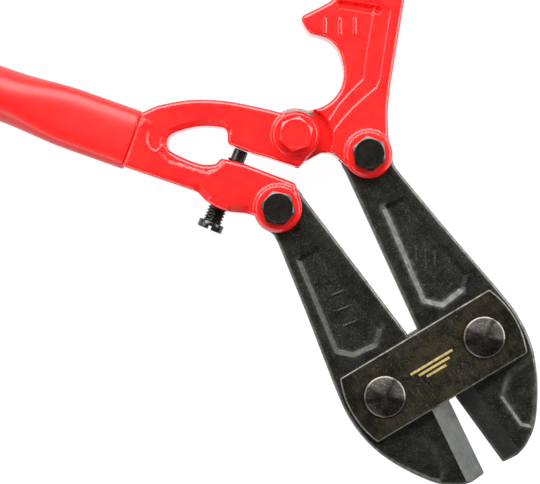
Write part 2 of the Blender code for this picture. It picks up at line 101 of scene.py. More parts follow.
# Fasteners
HEX_FLATS = 19
HEAD_HEIGHT = 7.5
BOLT_RADIUS = 6
BOLT_END = 28
THREAD_PITCH = 1.75
SCREW_PITCH = 2
NUT_HEIGHT = 9
WASHER_RADIUS = 12
WASHER_THICK = 2
DOME_RADIUS = 12.7
DOME_HEIGHT = 5
STRAP_BOLT_RADIUS = 7
SCREW_ANGLE = 36.87
SCREW_LENGTH = 53.1
SCREW_RADIUS = 5.9
SCREW_HEAD_AT = (-75.7, -22.3)
ROUND_STEPS = 48
RINGS_PER_TURN = 8


def middle_of(node):
    low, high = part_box(node)
    return (low + high) / 2


CENTRE = Vector((*middle_of("centre_pivot_bolt").xy, middle_of("right_jaw").z))


def pivot(node):
    """A fastener's place, in millimetres from the centre pivot."""
    return tuple((middle_of(node) - CENTRE).xy / MM)


JAW_PIVOT = pivot("right_jaw_bolt")
LEFT_PIVOT = (-JAW_PIVOT[0], JAW_PIVOT[1])
STRAP_PIVOT = pivot("right_strap_bolt")
STRAP_PIVOTS = {side: (side * STRAP_PIVOT[0], STRAP_PIVOT[1]) for _, side in SIDES}
STRAP_CENTRE = (0, STRAP_PIVOT[1] + 0.8)
SLANT = radians(HANDLE_ANGLE)
VIEW_UP = Vector((0.513, 0.858, 0)).normalized()
VIEW_RIGHT = Vector((VIEW_UP.y, -VIEW_UP.x, 0))


# ---- outlines

def arc(centre, radius, start, end, steps=24):
    """Points round a circle from one angle to another, in degrees."""
    angles = [radians(start + (end - start) * i / steps) for i in range(steps + 1)]
    return [(centre[0] + radius * cos(a), centre[1] + radius * sin(a)) for a in angles]


def circle(centre, radius, steps=48):
    return arc(centre, radius, 0, 360, steps)[:-1]


def smooth(points, steps=6):
    """A Catmull-Rom curve through the points."""
    knots = [points[0]] + list(points) + [points[-1]]
    curve = []
    for before, start, end, after in zip(knots, knots[1:], knots[2:], knots[3:]):
        for i in range(steps):
            t = i / steps
            curve.append(tuple(
                b + 0.5 * t * (c - a + t * (2 * a - 5 * b + 4 * c - d + t * (3 * (b - c) + d - a)))
                for a, b, c, d in zip(before, start, end, after)))
    return curve + [tuple(points[-1])]


def mirrored(outline):
    """The same outline on the other side of the centre line, in the same sense."""
    return [(-x, y) for x, y in reversed(outline)]


def handle_point(side, along, outward):
    """A point in a handle's own directions: along its axis, and outward from it, from the centre pivot."""
    x = along * sin(SLANT) + outward * cos(SLANT)
    y = along * cos(SLANT) - outward * sin(SLANT)
    return (side * x, y)


def jaw_outline():
    """Right jaw: eye with a lug, straight inner edge, heel, cutting edge, blunt tip, bulged outer edge."""
    eye = arc(JAW_PIVOT, EYE_RADIUS, -40, 140)
    lug = arc(JAW_PIVOT, EYE_LUG_RADIUS, 150, 186, 6)
    heel = arc(STRAP_PIVOT, HEEL_RADIUS, 162.3, 180 + EDGE_ANGLE, 12)
    foot = heel[-1]
    tip_x = foot[0] + (foot[1] - JAW_TIP_Y) * tan(radians(EDGE_ANGLE))
    outer = smooth([
        (16.6, JAW_TIP_Y), (25, -236.6), (36.4, -227.8), (49.8, -208.2), (58.2, -188.6), (61, -168.8),
        (59.3, -149), (50.8, -99), (45.4, -65), (43.4, -52), (43, -46)])
    return eye + lug + heel + [(tip_x, JAW_TIP_Y)] + outer


ARM_RECESS = [(14.1, -128.8), (22.6, -64.8), (39.1, -65.8), (48.1, -127.8), (39.6, -135.8), (23.6, -137.8)]
NOSE_RECESS = [
    (59.4, -190.8), (38.6, -192.8), (33.6, -195.8), (25.6, -203.3), (27.1, -224.8), (32.6, -229.8),
    (38, -225), (50, -208)]


def right_fitting_outline():
    """Hook, half-round notch, tongue round the centre pivot, arm and ear round the jaw pivot."""
    tube = [handle_point(1, TUBE_START[1], TUBE_OFFSET + 17.4),
            handle_point(1, TUBE_START[1], TUBE_OFFSET - 17.6)]
    hook = smooth([
        (60.6, 59.7), (52.8, 60), (47, 60.5), (41.5, 60.8), (39.6, 59.6), (39.1, 56), (39.1, 52), (40, 48.6),
        (43.2, 45.6), (46.8, 41.5), (48.8, 37), (49.5, 32), (49, 27.5)])
    notch = arc((25.6, 29.2), 22.7, -14, -111, 32)
    tongue = arc((0, 0), TONGUE_RADIUS, 34, 275, 48)
    arm = smooth([(8.4, -17.3), (13.9, -21.8), (16.7, -31)])
    ear = arc(JAW_PIVOT, EAR_RADIUS, 193, 356, 32)
    back = smooth([(48.6, -30), (56.2, -16.6), (65.6, -3.8)])
    return tube + hook + notch + tongue + arm + ear + back


WINDOW = [
    (-51, 9.8), (-59.4, 14.8), (-69.4, 28), (-71.2, 34.5), (-65.5, 39.6), (-49.4, 35.7), (-36.7, 27.6),
    (-35, 23.8), (-37.6, 18.5)]
SCREW_SIDE = smooth([(-69.4, 0.7), (-67.6, -7.4), (-61.5, -17.2), (-50.4, -25.8)])


def left_fitting_outline():
    """A fork: lower arm to the jaw pivot, slot and oval window, upper arm to the centre pivot."""
    tube = [handle_point(-1, TUBE_START[-1] - GAP, TUBE_OFFSET - 17.6),
            handle_point(-1, TUBE_START[-1] - GAP, TUBE_OFFSET + 17.4)]
    ear = arc(LEFT_PIVOT, EAR_RADIUS, 166, 346, 36)
    lower_arm = [(-15.3, -25.2), (-36.2, 1.2), (-46.7, 11.4)]
    upper_arm = [(-38.5, 16.9), (-27.6, 3), (-23, -1.5), (-8.5, -18.1)]
    ring = arc((0, 0), 15.0, -67, 80, 32)
    top = smooth([(-1, 16.9), (-9.6, 25.4), (-27, 40.8), (-45.2, 52.2), (-63.5, 59.2)])
    return tube + SCREW_SIDE + ear + lower_arm + smooth(WINDOW) + upper_arm + ring + top


def strap_outline():
    """A strip between two arcs of one circle."""
    corner = degrees(asin(STRAP_HALF_HEIGHT / STRAP_END_RADIUS))
    return (arc(STRAP_CENTRE, STRAP_END_RADIUS, -corner, corner, 16)
            + arc(STRAP_CENTRE, STRAP_END_RADIUS, 180 - corner, 180 + corner, 16))


# ---- measuring flat shapes

def resampled(outline, step, easing):
    """A closed outline as evenly spaced points, its corners eased by averaging with their neighbours."""
    corners = np.array(list(outline) + [outline[0]], float)
    lengths = np.r_[0, np.cumsum(np.linalg.norm(np.diff(corners, axis=0), axis=1))]
    count = max(8, round(lengths[-1] / step))
    at = np.arange(count) * lengths[-1] / count
    loop = np.column_stack([np.interp(at, lengths, corners[:, axis]) for axis in (0, 1)])
    for _ in range(easing):
        loop = (np.roll(loop, 1, 0) + 2 * loop + np.roll(loop, -1, 0)) / 4
    return loop


def stretched(line, step=0.6):
    """An open line as evenly spaced points, its corners kept."""
    made = []
    for a, b in zip(np.array(line, float), np.array(line[1:], float)):
        count = max(1, round(float(np.linalg.norm(b - a)) / step))
        made += [a + (b - a) * i / count for i in range(count)]
    return np.array(made + [np.array(line[-1], float)])


def anticlockwise(outline):
    """A closed outline as an array that runs anticlockwise."""
    line = np.array(outline, float)
    ahead = np.roll(line, -1, 0)
    area = (line[:, 0] * ahead[:, 1] - ahead[:, 0] * line[:, 1]).sum()
    return line if area > 0 else line[::-1]


def stadium(start, end, radius):
    """A slot with round ends."""
    heading = degrees(atan2(end[1] - start[1], end[0] - start[0]))
    return (arc(end, radius, heading - 90, heading + 90, 12)
            + arc(start, radius, heading + 90, heading + 270, 12))


def depth_in(points, loop, closed=True):
    """How far each point is from a line, positive inside a closed one and negative outside it."""
    line = np.array(loop, float)
    ends = np.roll(line, -1, 0) if closed else line[1:]
    nearest = np.full(len(points), 1e9)
    inside = np.zeros(len(points), bool)
    x, y = points[:, 0], points[:, 1]
    for (ax, ay), (bx, by) in zip(line, ends):
        dx, dy = bx - ax, by - ay
        share = np.clip(((x - ax) * dx + (y - ay) * dy) / (dx * dx + dy * dy + 1e-12), 0, 1)
        nearest = np.minimum(nearest, (x - ax - share * dx) ** 2 + (y - ay - share * dy) ** 2)
        if closed and ay != by:
            crossing = ((ay > y) != (by > y)) & (x < ax + (y - ay) * dx / dy)
            inside ^= crossing
    nearest = np.sqrt(nearest)
    return np.where(inside, nearest, -nearest) if closed else nearest


def beside(loop, distance, closed=True):
    """The line shifted to its left by a distance: inwards for a counter-clockwise outline."""
    line = np.array(loop, float)
    if closed:
        along = np.roll(line, -1, 0) - np.roll(line, 1, 0)
    else:
        along = np.gradient(line, axis=0)
    along /= np.linalg.norm(along, axis=1)[:, None] + 1e-12
    return line + np.column_stack([-along[:, 1], along[:, 0]]) * distance


def set_in(outline, distance):
    """A closed outline with each side moved inwards and its corners kept sharp."""
    line = anticlockwise(outline)
    into = line - np.roll(line, 1, 0)
    away = np.roll(line, -1, 0) - line
    into /= np.linalg.norm(into, axis=1)[:, None]
    away /= np.linalg.norm(away, axis=1)[:, None]
    bisector = np.column_stack([-into[:, 1] - away[:, 1], into[:, 0] + away[:, 0]])
    return line + bisector * distance / (1 + (into * away).sum(1))[:, None]


def reach(points, at):
    """How far each point is from one place."""
    return np.hypot(points[:, 0] - at[0], points[:, 1] - at[1])


def rounded(depth, radius):
    """Height lost at a depth inside a rounded edge."""
    t = np.clip(1 - depth / radius, 0, 1)
    return radius * (np.sqrt(1 - t * t) - 1)


def ridge(points, line, width, rise):
    """Height added by a raised line with sloping sides."""
    return rise * eased(depth_in(points, line, False), width / 2, width / 2 - 0.9)


def ridge_lines(lines, width):
    """Places beside which raised lines bend."""
    offsets = [side * (width / 2 - step) for side in (-1, 1) for step in (0, 0.3, 0.6, 0.9)]
    return [(stretched(line, 0.4), False, offsets) for line in lines]


def eased(value, low, high):
    """0 below low, 1 above high, and a smooth step between."""
    t = np.clip((value - low) / (high - low), 0, 1)
    return t * t * (3 - 2 * t)


# ---- meshes

def linked(name, data):
    """A new object in the scene."""
    made = bpy.data.objects.new(name, data)
    bpy.context.scene.collection.objects.link(made)
    return made


def finished(name, mesh, body, replaced, surface, sharp=35):
    """A finished piece: shaded, moved to the centre pivot, and tied to its CAD body; surface is its slot,
    which is not used, and its material."""
    slot, finish = surface
    mesh.transform(Matrix.Translation(CENTRE) @ Matrix.Scale(MM, 4))
    mesh.shade_smooth()
    mesh.set_sharp_from_angle(angle=radians(sharp))
    mesh.materials.clear()
    mesh.materials.append(finish)
    piece = linked(name, mesh)
    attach(piece, body)
    if replaced:
        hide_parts(replaced)


def loft(rings, joined=False):
    """A closed mesh through rings of points; joined ties the last ring to the first."""
    bm = bmesh.new()
    loops = [[bm.verts.new(point) for point in ring] for ring in rings]
    pairs = list(zip(loops, loops[1:]))
    if joined:
        pairs.append((loops[-1], loops[0]))
    else:
        for ring in (loops[0], loops[-1]):
            bm.faces.new(ring)
    count = len(loops[0])
    for low, high in pairs:
        for i in range(count):
            bm.faces.new((low[i - 1], low[i], high[i], high[i - 1]))
    bmesh.ops.recalc_face_normals(bm, faces=bm.faces)
    mesh = bpy.data.meshes.new("loft")
    bm.to_mesh(mesh)
    bm.free()
    return mesh


def thinned(groups):
    """Points from all groups, each kept only if no earlier point is within its group's spacing."""
    kept, cells = [], {}
    for points, spacing in groups:
        for x, y in points:
            cell = (int(x // 1), int(y // 1))
            near = (q for i in (-1, 0, 1) for j in (-1, 0, 1)
                    for q in cells.get((cell[0] + i, cell[1] + j), ()))
            if all((x - q[0]) ** 2 + (y - q[1]) ** 2 > spacing * spacing for q in near):
                kept.append((x, y))
                cells.setdefault(cell, []).append((x, y))
    return np.array(kept)


def plate(outline, holes, front, back, lines, spacing, rim_depths):
    """A plate whose faces are height fields.

    front and back give the height of a face, over the middle plane, at an array of points. lines holds
    (line, closed, distances): the places beside which the relief bends, which get points of their own.
    """
    loops = [outline] + [resampled(hole, 0.8, 0) for hole in holes]
    fixed = np.vstack(loops)
    low, high = outline.min(0), outline.max(0)
    columns, rows = np.arange(low[0], high[0], spacing), np.arange(low[1], high[1], spacing * 0.87)
    grid = np.array([(x + (j % 2) * spacing / 2, y) for j, y in enumerate(rows) for x in columns])
    groups = []
    for depth in rim_depths:
        ring = beside(outline, depth)
        groups.append((ring[depth_in(ring, outline) > depth * 0.96], 0.12))
    for line, closed, distances in lines:
        fine = anticlockwise(resampled(line, 0.7, 0)) if closed else line
        groups += [(beside(fine, d, closed), 0.19) for d in distances]
    groups.append((grid, spacing * 0.62))
    seeds = thinned(groups)
    clear = depth_in(seeds, outline) > 0.06
    for hole in loops[1:]:
        clear &= depth_in(seeds, hole) < -0.4
    points = np.vstack([fixed, seeds[clear]])
    edges, at = [], 0
    for loop in loops:
        edges += [(at + i, at + (i + 1) % len(loop)) for i in range(len(loop))]
        at += len(loop)
    found = delaunay_2d_cdt([Vector(p) for p in points], edges, [], 1, 1e-7)
    flat = np.array([tuple(v) for v in found[0]])
    index = {old: new for new, olds in enumerate(found[3]) for old in olds}
    faces = found[2]
    middles = np.array([flat[list(f)].mean(0) for f in faces])
    keep = depth_in(middles, outline) > 0
    for hole in loops[1:]:
        keep &= depth_in(middles, hole) < 0
    faces = [f for f, kept in zip(faces, keep) if kept]
    count = len(flat)
    upper = np.column_stack([flat, front(flat)])
    lower = np.column_stack([flat, -back(flat)])
    solid = [tuple(f) for f in faces] + [tuple(count + v for v in reversed(f)) for f in faces]
    for a, b in edges:
        a, b = index[a], index[b]
        solid.append((a, count + a, count + b, b))
    mesh = bpy.data.meshes.new("plate")
    mesh.from_pydata(np.vstack([upper, lower]).tolist(), [], solid)
    mesh.update()
    bm = bmesh.new()
    bm.from_mesh(mesh)
    loose = [v for v in bm.verts if not v.link_faces]
    bmesh.ops.delete(bm, geom=loose, context="VERTS")
    bmesh.ops.recalc_face_normals(bm, faces=bm.faces)
    bm.to_mesh(mesh)
    bm.free()
    return mesh


def paint(mesh, name, values):
    """Store a number for each vertex, for a material to read."""
    attribute = mesh.attributes.new(name, "FLOAT", "POINT")
    attribute.data.foreach_set("value", np.asarray(values, np.float32))


def flat_points(mesh):
    co = np.zeros(len(mesh.vertices) * 3)
    mesh.vertices.foreach_get("co", co)
    return co.reshape(-1, 3)


def shaped(mesh, tools, operation="DIFFERENCE"):
    """The mesh after cutting it with tools, or joining them to it; the tools are used up."""
    holder, helpers = linked("work", mesh), []
    for tool in tools:
        helpers.append(linked("tool", tool))
        change = holder.modifiers.new("change", "BOOLEAN")
        change.operation = operation
        change.solver = "EXACT"
        change.object = helpers[-1]
    result = bpy.data.meshes.new_from_object(holder.evaluated_get(bpy.context.evaluated_depsgraph_get()))
    for made in [holder] + helpers:
        bpy.data.objects.remove(made, do_unlink=True)
    return result


def prism(outline, low, high):
    return loft([[(x, y, z) for x, y in outline] for z in (low, high)])


def disc(at, radius, half):
    """A cylinder reaching half its length each side of the middle plane."""
    return prism(circle(at, radius, 64), -half, half)


# ---- materials

class Finish:
    """A Principled material while its nodes are joined up; textures use each piece's own coordinates."""

    def __init__(self, name, constants):
        self.material = bpy.data.materials.new(name)
        self.material.use_nodes = True
        self.tree = self.material.node_tree
        self.shader = self.tree.nodes["Principled BSDF"]
        self.where = self.tree.nodes.new("ShaderNodeTexCoord").outputs["Object"]
        for key, value in constants.items():
            self.shader.inputs[key].default_value = value

    def node(self, kind, inputs, **settings):
        """Add a node, set or link its inputs, and return its first output."""
        made = self.tree.nodes.new("ShaderNode" + kind)
        for key, value in settings.items():
            setattr(made, key, value)
        for key, value in inputs.items():
            if isinstance(value, bpy.types.NodeSocket):
                self.tree.links.new(value, made.inputs[key])
            else:
                made.inputs[key].default_value = value
        return made.outputs[0]

    def noise(self, scale, detail, roughness=0.5, stretch=None):
        """Noise in cycles per metre, or stretched along an axis."""
        where = self.node("Mapping", {"Vector": self.where, "Scale": stretch}) if stretch else self.where
        return self.node("TexNoise", {"Vector": where, "Scale": scale, "Detail": detail,
                                      "Roughness": roughness})

    def ramp(self, value, *stops):
        """Map a number to a colour or grey level through two (position, level) stops."""
        made = self.tree.nodes.new("ShaderNodeValToRGB")
        for element, (position, level) in zip(made.color_ramp.elements, stops):
            element.position = position
            element.color = (*level, 1) if isinstance(level, tuple) else (level, level, level, 1)
        self.tree.links.new(value, made.inputs["Fac"])
        return made.outputs["Color"]

    def painted(self, name):
        """A number stored on the mesh."""
        made = self.tree.nodes.new("ShaderNodeAttribute")
        made.attribute_name = name
        return made.outputs["Fac"]

    def mixed(self, share, first, second, **settings):
        second = (*second, 1) if isinstance(second, tuple) else second
        return self.node("MixRGB", {"Fac": share, "Color1": first, "Color2": second}, **settings)

    def maths(self, operation, first, second, clamp=False):
        return self.node("Math", {0: first, 1: second}, operation=operation, use_clamp=clamp)

    def speckled(self, dark, light, flecks, grain, amount):
        """A mottled dark skin with lighter flecks, and its mottle."""
        mottle = self.noise(130, 6, 0.72)
        spots = self.ramp(self.noise(grain, 4, 0.75), (amount, 0.0), (amount + 0.1, 1.0))
        return mottle, self.mixed(spots, self.ramp(mottle, (0.3, dark), (0.7, light)), flecks)

    def joined(self, **surface):
        """The material, with its shader's sockets linked: colour, rough, normal or tangent."""
        sockets = {"colour": "Base Color", "rough": "Roughness", "normal": "Normal", "tangent": "Tangent"}
        for key, value in surface.items():
            self.tree.links.new(value, self.shader.inputs[sockets[key]])
        return self.material

    def bump(self, height, distance, strength):
        """A normal for relief of a distance in millimetres."""
        return self.node("Bump", {"Height": height, "Distance": distance * MM, "Strength": strength})


def red_paint(name, coat, smoothest, roughest):
    """Thick gloss enamel with a faint orange-peel skin; where the stored grey share is near 1, grey shows:
    bare casting on the tongue, and a faint painted highlight on the slopes beside the screw.
    """
    m = Finish(name, {"Coat Weight": coat, "Coat Roughness": 0.06, "Coat IOR": 1.5, "IOR": 1.45})
    red = m.ramp(m.noise(35, 3), (0.3, (0.80, 0.010, 0.010)), (0.7, (0.90, 0.016, 0.014)))
    grey = m.ramp(m.noise(300, 4, 0.6), (0.3, (0.10, 0.088, 0.076)), (0.7, (0.18, 0.16, 0.14)))
    patchy = m.ramp(m.noise(160, 4), (0.3, smoothest), (0.75, roughest))
    skin = m.maths("ADD", m.noise(420, 2), m.maths("MULTIPLY", m.noise(90, 2), 1.6))
    colour = m.mixed(m.painted("bare_and_sheen"), red, grey)
    return m.joined(colour=colour, rough=patchy, normal=m.bump(skin, 0.02, 0.5))


def strap_steel():
    """Blackened plate, brown and oily in places, with fine scratches across it and bright worn edges."""
    m = Finish("blackened_strap_steel", {"Metallic": 0.6, "IOR": 1.5})
    mottle, colour = m.speckled((0.002, 0.002, 0.001), (0.024, 0.023, 0.014), (0.15, 0.12, 0.05), 1100, 0.58)
    stain = m.ramp(m.noise(45, 5, 0.7), (0.50, 0), (0.66, 0.8))
    oil = m.maths("MULTIPLY", m.painted("oily"), m.ramp(mottle, (0.35, 1), (0.62, 0.5)))
    strokes = m.ramp(m.noise(1.0, 3, 0.6, (2600, 150, 150)), (0.57, 0), (0.70, 0.5))
    breaks = m.ramp(m.noise(260, 4, 0.7), (0.3, 0.25), (0.65, 1))
    wear = m.maths("MULTIPLY", m.painted("wear_and_highlight"), breaks, True)
    for share, tint in ((stain, (0.044, 0.031, 0.009)), (oil, (0.003, 0.003, 0.001)),
                        (strokes, (0.12, 0.10, 0.07)), (wear, (0.25, 0.23, 0.19))):
        colour = m.mixed(share, colour, tint)
    relief = m.maths("ADD", m.noise(700, 4, 0.6), strokes)
    return m.joined(colour=colour, rough=m.ramp(mottle, (0.3, 0.36), (0.7, 0.58)),
                    normal=m.bump(relief, 0.05, 0.5))


def bolt_steel():
    """Black oxide over machined steel, smooth enough for its chamfers to shine."""
    m = Finish("black_bolt_steel", {"IOR": 1.65})
    mottle, colour = m.speckled((0.003, 0.002, 0.001), (0.010, 0.008, 0.006), (0.06, 0.055, 0.05), 1100, 0.62)
    return m.joined(colour=colour, rough=m.ramp(mottle, (0.3, 0.13), (0.7, 0.27)),
                    normal=m.bump(m.noise(900, 4, 0.65), 0.05, 0.5))


def turned_steel():
    """A blackened dome with fine turning rings, which spread its highlight across them, and a bright rim."""
    m = Finish("turned_dome_steel", {
        "Metallic": 0.9, "IOR": 1.5, "Anisotropic": 0.9, "Anisotropic Rotation": 0.25, "Roughness": 0.33})
    _, colour = m.speckled((0.008, 0.007, 0.006), (0.062, 0.058, 0.05), (0.20, 0.18, 0.15), 900, 0.58)
    colour = m.mixed(m.painted("wear_and_highlight"), colour, (0.26, 0.245, 0.215))
    return m.joined(colour=colour, tangent=m.node("Tangent", {}, direction_type="RADIAL", axis="Z"),
                    normal=m.bump(m.noise(700, 5, 0.7), 0.05, 0.5))


def jaw_steel():
    """Blackened jaw steel, gritty where it is sunk, ground along the cutting edge and worn on its rims, with
    a painted highlight on the lit panel walls and the left bevel.
    """
    m = Finish("blackened_jaw_steel", {"Metallic": 0.7, "IOR": 1.5})
    sunk, ground = m.painted("sunk"), m.painted("ground")
    mottle, colour = m.speckled((0.004, 0.004, 0.003), (0.020, 0.021, 0.016), (0.12, 0.12, 0.10), 1500, 0.57)
    gritty = m.ramp(m.noise(900, 4, 0.8), (0.35, 0.35), (0.65, 1.7))
    colour = m.mixed(1.0, colour, m.mixed(sunk, (1, 1, 1, 1), gritty), blend_type="MULTIPLY")
    breaks = m.ramp(m.noise(240, 4, 0.7), (0.3, 0.3), (0.6, 1))
    # Wear on the rims, and a painted highlight on the panel walls that face the light, lighten the colour
    colour = m.mixed(m.maths("MULTIPLY", m.painted("wear_and_highlight"), breaks, True), colour, (0.24, 0.235, 0.22))
    lines = m.noise(40, 6, 0.7, (24, 1, 1))
    steel = m.ramp(lines, (0.3, (0.044, 0.047, 0.044)), (0.7, (0.066, 0.069, 0.066)))
    grain = m.maths("ADD", m.noise(900, 6, 0.8), m.maths("MULTIPLY", mottle, 1.2))
    grain = m.maths("MULTIPLY", grain, m.maths("ADD", m.maths("MULTIPLY", sunk, 1.5), 1.0))
    grain = m.maths("MULTIPLY", grain, m.maths("SUBTRACT", 1.0, ground, True))
    return m.joined(colour=m.mixed(ground, colour, steel), rough=m.ramp(mottle, (0.3, 0.36), (0.7, 0.56)),
                    normal=m.bump(grain, 0.11, 0.6))


def rubber():
    """Matt moulded rubber with a fine grain."""
    m = Finish("grip_rubber", {"IOR": 1.45, "Sheen Weight": 0.15})
    cloud = m.noise(90, 4, 0.6)
    colour = m.ramp(cloud, (0.3, (0.010, 0.010, 0.011)), (0.7, (0.022, 0.022, 0.023)))
    return m.joined(colour=colour, rough=m.ramp(cloud, (0.3, 0.6), (0.7, 0.78)),
                    normal=m.bump(m.noise(1500, 3, 0.6), 0.05, 0.6))


def mark_paint():
    """Dull gold marking paint."""
    m = Finish("gold_marking_paint", {"Metallic": 0.4, "IOR": 1.45})
    cloud = m.noise(500, 4, 0.6)
    colour = m.ramp(cloud, (0.3, (0.34, 0.25, 0.08)), (0.7, (0.62, 0.48, 0.20)))
    return m.joined(colour=colour, rough=m.ramp(cloud, (0.3, 0.4), (0.7, 0.6)))


# Each surface's slot and material
FITTING_PAINT = ("fitting_paint", red_paint("red_fitting_enamel", 0.6, 0.22, 0.34))
TUBE_PAINT = ("tube_paint", red_paint("red_tube_enamel", 0.08, 0.36, 0.44))
JAW_STEEL = ("jaw_steel", jaw_steel())
STRAP_STEEL = ("strap_steel", strap_steel())
BOLT_STEEL = ("bolt_steel", bolt_steel())
DOME_STEEL = ("bolt_steel", turned_steel())
RUBBER = ("grip_rubber", rubber())
GOLD = (None, mark_paint())


# ---- handles

def tube_ring(along, depth):
    """The tube's section, depth inside its surface: an oblong at the fitting, round further up."""
    t = min(max((along - FLAT_LENGTH) / (FLARE_LENGTH - FLAT_LENGTH), 0.0), 1.0)
    blend = t * t * (3 - 2 * t)
    width = FLAT_HALF_WIDTH + (TUBE_RADIUS - FLAT_HALF_WIDTH) * blend - depth
    height = FLAT_HALF_HEIGHT + (TUBE_RADIUS - FLAT_HALF_HEIGHT) * blend - depth
    power = 2 / (3.0 - blend)
    ring = []
    for i in range(96):
        angle = 2 * pi * i / 96
        across, up = cos(angle), sin(angle)
        ring.append((copysign(abs(across) ** power, across) * width,
                     copysign(abs(up) ** power, up) * height))
    return ring


def along_handle(side, rings):
    """Place sections, given as (distance from the centre pivot, points), on a handle's tube axis."""
    return [[(*handle_point(side, along, TUBE_OFFSET + across), up) for across, up in ring]
            for along, ring in rings]


def handle_tube(side):
    """The steel tube, flattened over the fitting's shank, its cut end slightly rounded."""
    start = TUBE_START[side]
    lengths = [0.7, 2, 8, 16, 24, 30] + [FLAT_LENGTH + 2.2 * i for i in range(21)]
    outer = [(start, tube_ring(0, 0.7)), (start + 0.2, tube_ring(0, 0.25))]
    outer += [(start + s, tube_ring(s, 0)) for s in lengths] + [(TUBE_END, tube_ring(FLARE_LENGTH, 0))]
    inner = [(start, tube_ring(0, TUBE_WALL))] + [(start + s, tube_ring(s, TUBE_WALL)) for s in lengths]
    inner.append((TUBE_END, tube_ring(FLARE_LENGTH, TUBE_WALL)))
    return loft(along_handle(side, outer + inner[::-1]), joined=True)


def grip(side):
    """A moulded sleeve: a collar, finger ribs round most of its length, and a domed end."""
    rib = ((0, 18.4), (0.12, 19.3), (0.3, 19.75), (0.55, 19.75), (0.72, 19.3), (0.84, 18.4))
    collar = ((0, 17.2), (0, 19.2), (0.8, GRIP_RADIUS), (7, GRIP_RADIUS), (8.5, 19))
    profile = [(GRIP_START + along, radius) for along, radius in collar]
    ribs_from, ribs_to, pitch = GRIP_START + 14, GRIP_END - 24, 7.0
    for i in range(round((ribs_to - ribs_from) / pitch)):
        profile += [(ribs_from + (i + share) * pitch, radius) for share, radius in rib]
    profile += [(ribs_to + 3, 18.6), (GRIP_END - 14, 19.4), (GRIP_END - 11, GRIP_RADIUS)]
    for i in range(1, 9):
        angle = radians(i * 10.5)
        profile.append((GRIP_END - 9 + 9 * sin(angle), GRIP_RADIUS - 9 + 9 * cos(angle)))
    profile += [(GRIP_END, 10.5), (GRIP_END - 0.2, 4.0), (GRIP_END - 1.5, 3.4), (GRIP_END - 2, 0.6)]
    inside = TUBE_RADIUS + GAP - 0.1
    bore = [(TUBE_END + 0.1, 0.6), (TUBE_END + 0.1, inside), (GRIP_START, inside)]
    rings = [(along, circle((0, 0), radius, 72)) for along, radius in profile + bore]
    return loft(along_handle(side, rings), joined=True)


# ---- fittings

def shank(side):
    """The part of a fitting that fills the flattened tube."""
    depth = TUBE_WALL + GAP
    start = TUBE_START[side]
    rings = [(start - 6, tube_ring(0, depth))]
    rings += [(start + s, tube_ring(s, depth)) for s in (0, 16, 32, SHANK_LENGTH - 1)]
    rings.append((start + SHANK_LENGTH, tube_ring(SHANK_LENGTH, depth + 1)))
    return loft(along_handle(side, rings))


def boss_height(points, at):
    """Two shallow steps up to the raised disc under a bolt's head."""
    away, rise = reach(points, at), BOSS_TOP - FITTING_HALF
    return 0.45 * rise * eased(-away, -STEP_RADIUS - 0.5, -STEP_RADIUS + 0.5) \
        + 0.55 * rise * eased(-away, -BOSS_RADIUS - 0.6, -BOSS_RADIUS + 0.4)


def boss_lines(at):
    radii = (STEP_RADIUS, BOSS_RADIUS)
    return [(circle(at, radius, 96), True, (-0.6, -0.3, 0, 0.3, 0.6)) for radius in radii]


# The web between the right fitting's notch and its back edge steps down twice, along these two lines.
OUTER_STEP = [
    (16, -14), (23, -9.6), (29.8, -6.9), (39, -4.2), (49, -2.2), (57.2, -1), (62.3, 2.4), (70, 12),
    (78.4, 22.2), (90, 35.8)]
INNER_STEP = [
    (14, -7), (20.7, -3.8), (26.8, -0.9), (32.7, 2), (36.5, 3.2), (43.1, 5.1), (53.8, 7.8), (60.5, 16.6),
    (67.3, 25.1), (83, 43.2)]
NOTCH_SIDE = [(60, 90), (0, 90), (-20, 0)]
STEP_DOWN = 0.45
# A groove beside the tube, and the circle that the left fitting's arm sweeps
TUBE_GROOVE = stadium((65, 54.2), (82.6, 39.6), 3.2)
GROOVE_DEPTH = 3.6
SWING_AT, SWING_RADIUS = (2, -3), 19.0
BARE_ABOVE = 12
SHOULDER_DEPTHS = (0.05, -0.05, -0.2, -0.5, -1.0, -1.6)

# Plain raised strokes stand in for the cast size marks, and a low ridge marks a tuck in the web.
RIGHT_STROKES = [[(47.5, 44.5), (52, 52)], [(55.2, 39.4), (59.8, 47.1)], [(63, 34.8), (67.6, 42.4)]]
TUCK = [(67.3, 13.1), (63.6, 8.5), (60.2, 3.7)]


def right_face(outline):
    """Strokes, boss, stepped web and groove, down to the tongue round the centre pivot."""
    def height(points):
        depth = depth_in(points, outline)
        level = FITTING_HALF + rounded(depth, RIM)
        for stroke in RIGHT_STROKES:
            level += ridge(points, stroke, 2.6, 0.5)
        level += ridge(points, TUCK, 1.8, 0.15)
        level += boss_height(points, JAW_PIVOT)
        outer = depth_in(points, OUTER_STEP + NOTCH_SIDE)
        inner = depth_in(points, INNER_STEP + NOTCH_SIDE)
        band = np.clip(outer / (outer - np.minimum(inner, 0) + 1e-9), 0, 1)
        level -= STEP_DOWN * (eased(outer, 0, 0.9) + band * (outer > 0) + eased(inner, 0, 0.9))
        level -= GROOVE_DEPTH * eased(depth_in(points, TUBE_GROOVE), 0, 1.6)
        beyond = np.minimum(reach(points, (0, 0)) - SHOULDER_RADIUS, reach(points, SWING_AT) - SWING_RADIUS)
        tongue = JAW_HALF + rounded(depth, 1.5)
        return np.where(beyond < 0, tongue, level + rounded(np.maximum(beyond, 0) + 0.05, 1.6))
    return height


